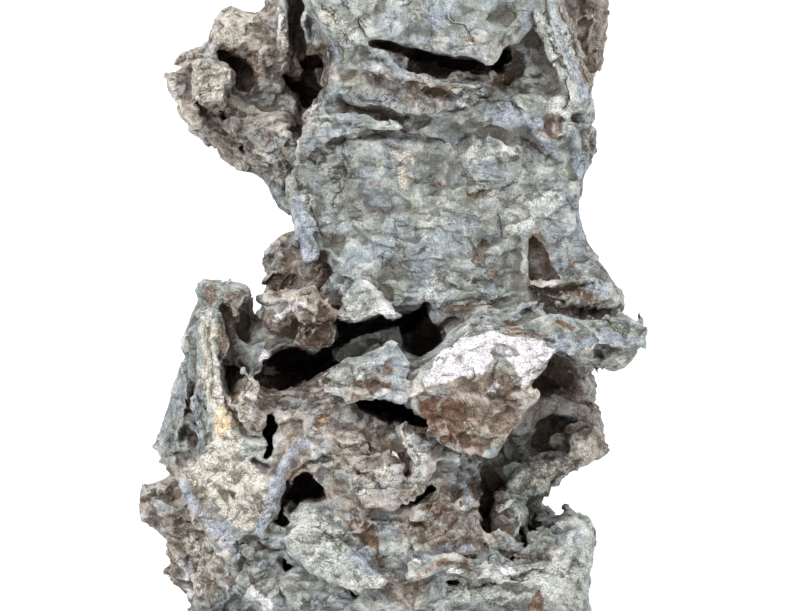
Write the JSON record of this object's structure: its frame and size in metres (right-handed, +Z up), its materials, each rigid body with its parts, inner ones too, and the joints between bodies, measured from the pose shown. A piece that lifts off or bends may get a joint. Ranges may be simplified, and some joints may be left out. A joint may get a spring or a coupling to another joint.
{
  "type": "aquascape rock",
  "caption": "Craggy, cavernous grey-green foliated stone that stands upright on a flat foot, for an aquarium or terrarium layout",
  "frame": {"origin": "centre of the footprint of the bounding box, on the flat cut that the stone rests on", "axes": "+Z up along the standing stone, -Y towards the viewer of its broad face, +X to that viewer's right"},
  "size_m": [0.1536, 0.1556, 0.2425],
  "materials": {
    "stone": "matt weathered grey-green foliated stone with rust, cream and blue-grey patches"
  },
  "bodies": {
    "root": {"rock": "stone"}
  },
  "joints": []
}
